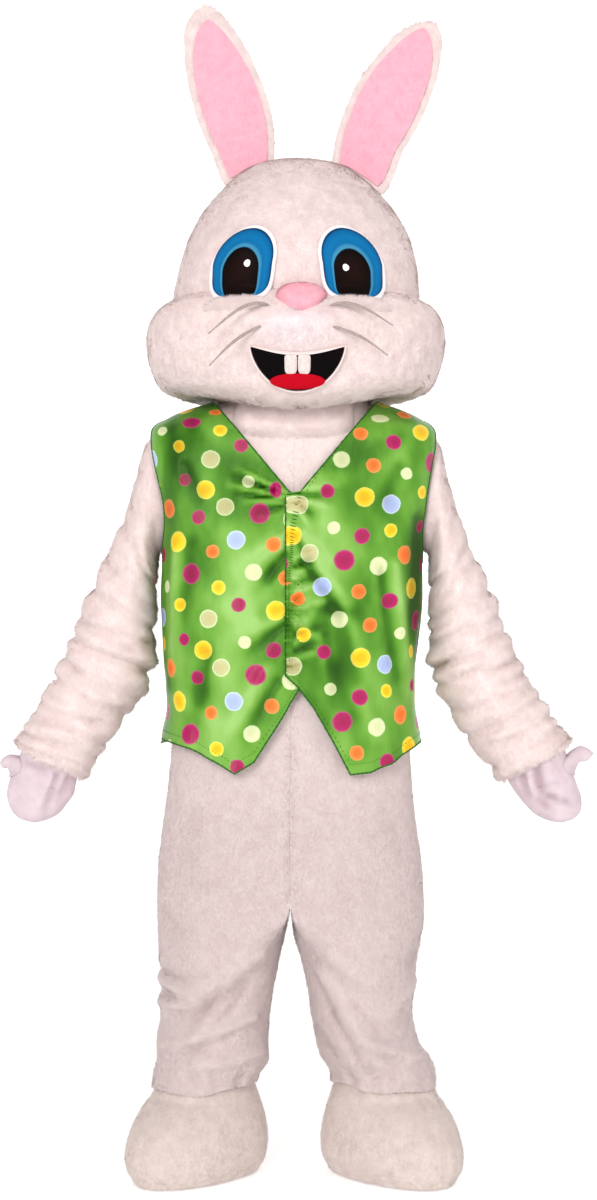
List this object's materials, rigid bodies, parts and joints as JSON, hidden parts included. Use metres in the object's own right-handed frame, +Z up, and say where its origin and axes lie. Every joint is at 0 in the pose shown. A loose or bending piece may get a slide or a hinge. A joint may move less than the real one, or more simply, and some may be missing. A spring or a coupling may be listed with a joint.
{
  "type": "rabbit mascot costume",
  "caption": "Full-body plush rabbit mascot costume: hollow suit, big-cheeked head with long ears, mittens, boot covers and a dotted satin vest.",
  "frame": {"origin": "midway between the wearer's shoulders, at the height where they carry the costume, 1.360 m above the floor its soles would stand on", "axes": "+Z up towards the ears, -Y the way the face looks, +X towards the viewer's right when facing it"},
  "size_m": [1.054, 0.4868, 2.083],
  "materials": {
    "white_plush": "short matt pile",
    "pink_plush": "short matt pile",
    "white_felt": "matt",
    "eye_blue": "glossy",
    "eye_black": "glossy",
    "mouth_black": "matt",
    "tongue_red": "matt",
    "tooth_cream": "satin",
    "whisker_grey": "matt bristle",
    "mitten_cloth": "short matt pile",
    "green_satin": "satin sheen, printed dots",
    "sole_rubber": "matt"
  },
  "bodies": {
    "root": {"boot_left": "white_plush", "boot_right": "white_plush", "sole_left": "sole_rubber", "sole_right": "sole_rubber", "crown_front": "white_plush", "crown_back": "white_plush", "head_face": "white_plush", "head_nape": "white_plush", "ear_left": "white_plush", "ear_right": "white_plush", "ear_lining_left": "pink_plush", "ear_lining_right": "pink_plush", "eye_border_left": "white_felt", "eye_border_right": "white_felt", "eye_iris_left": "eye_blue", "eye_iris_right": "eye_blue", "eye_pupil_left": "eye_black", "eye_pupil_right": "eye_black", "eye_shine_left": "white_felt", "eye_shine_right": "white_felt", "nose": "pink_plush", "mouth": "mouth_black", "mouth_border": "white_felt", "tongue": "tongue_red", "tooth_left": "tooth_cream", "tooth_right": "tooth_cream", "whisker_left_upper": "whisker_grey", "whisker_left_lower": "whisker_grey", "whisker_right_upper": "whisker_grey", "whisker_right_lower": "whisker_grey", "neck_front": "white_plush", "neck_back": "white_plush", "suit_front_left": "white_plush", "suit_front_right": "white_plush", "suit_back_left": "white_plush", "suit_back_right": "white_plush", "sleeve_front_left": "white_plush", "sleeve_front_right": "white_plush", "sleeve_back_left": "white_plush", "sleeve_back_right": "white_plush", "mitten_front_left": "mitten_cloth", "mitten_front_right": "mitten_cloth", "mitten_back_left": "mitten_cloth", "mitten_back_right": "mitten_cloth", "mitten_thumb_left": "mitten_cloth", "mitten_thumb_right": "mitten_cloth", "vest_front_left": "green_satin", "vest_front_right": "green_satin", "vest_back": "green_satin"}
  },
  "joints": []
}
